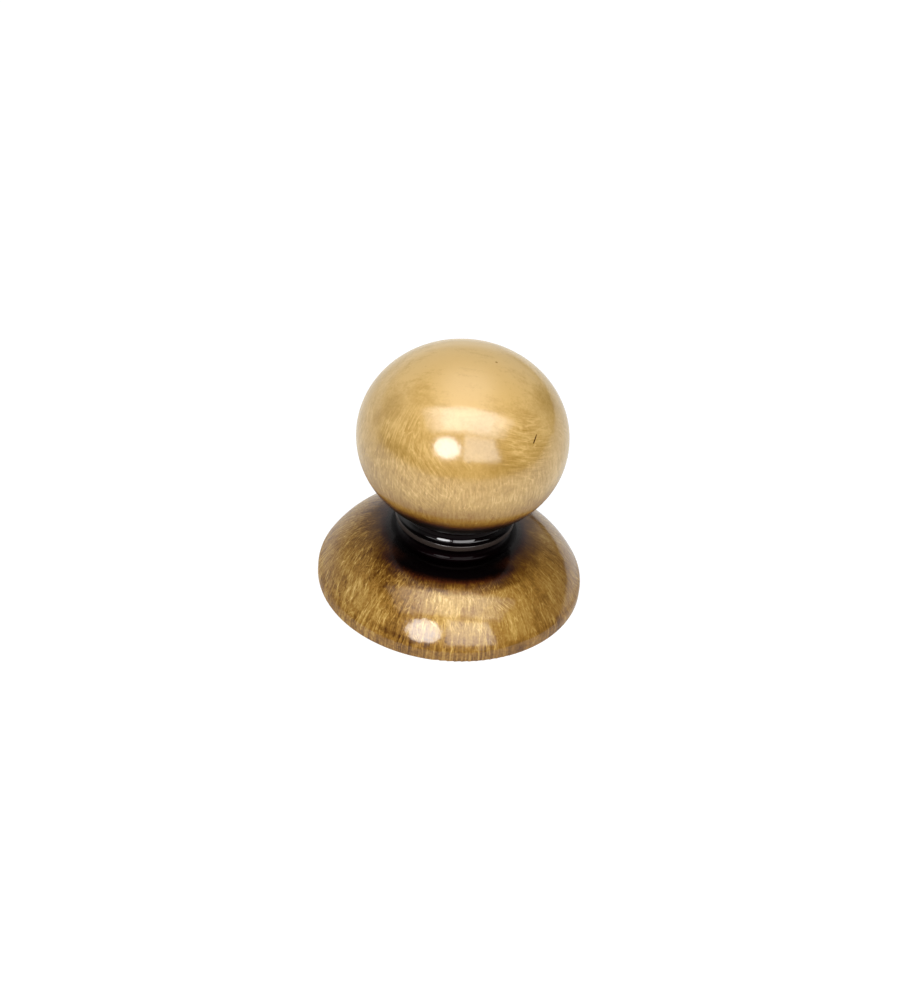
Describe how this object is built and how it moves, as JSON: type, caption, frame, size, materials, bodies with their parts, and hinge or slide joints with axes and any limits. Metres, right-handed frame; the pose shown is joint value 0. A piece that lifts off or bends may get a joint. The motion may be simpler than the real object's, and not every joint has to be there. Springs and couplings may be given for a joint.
{
  "type": "cabinet knob",
  "caption": "Ball-shaped cabinet knob on a short collared neck and domed foot, cast in one piece, fastened by a screw from behind.",
  "frame": {"origin": "centre of the flat back, where the knob meets the door", "axes": "+Z along the knob's axis, from the door out through the ball; the knob is round about it"},
  "size_m": [0.038, 0.038, 0.0375],
  "materials": {
    "antique_brass": "brushed antique brass, dark in the recesses, under clear lacquer"
  },
  "bodies": {
    "root": {"knob": "antique_brass"}
  },
  "joints": []
}
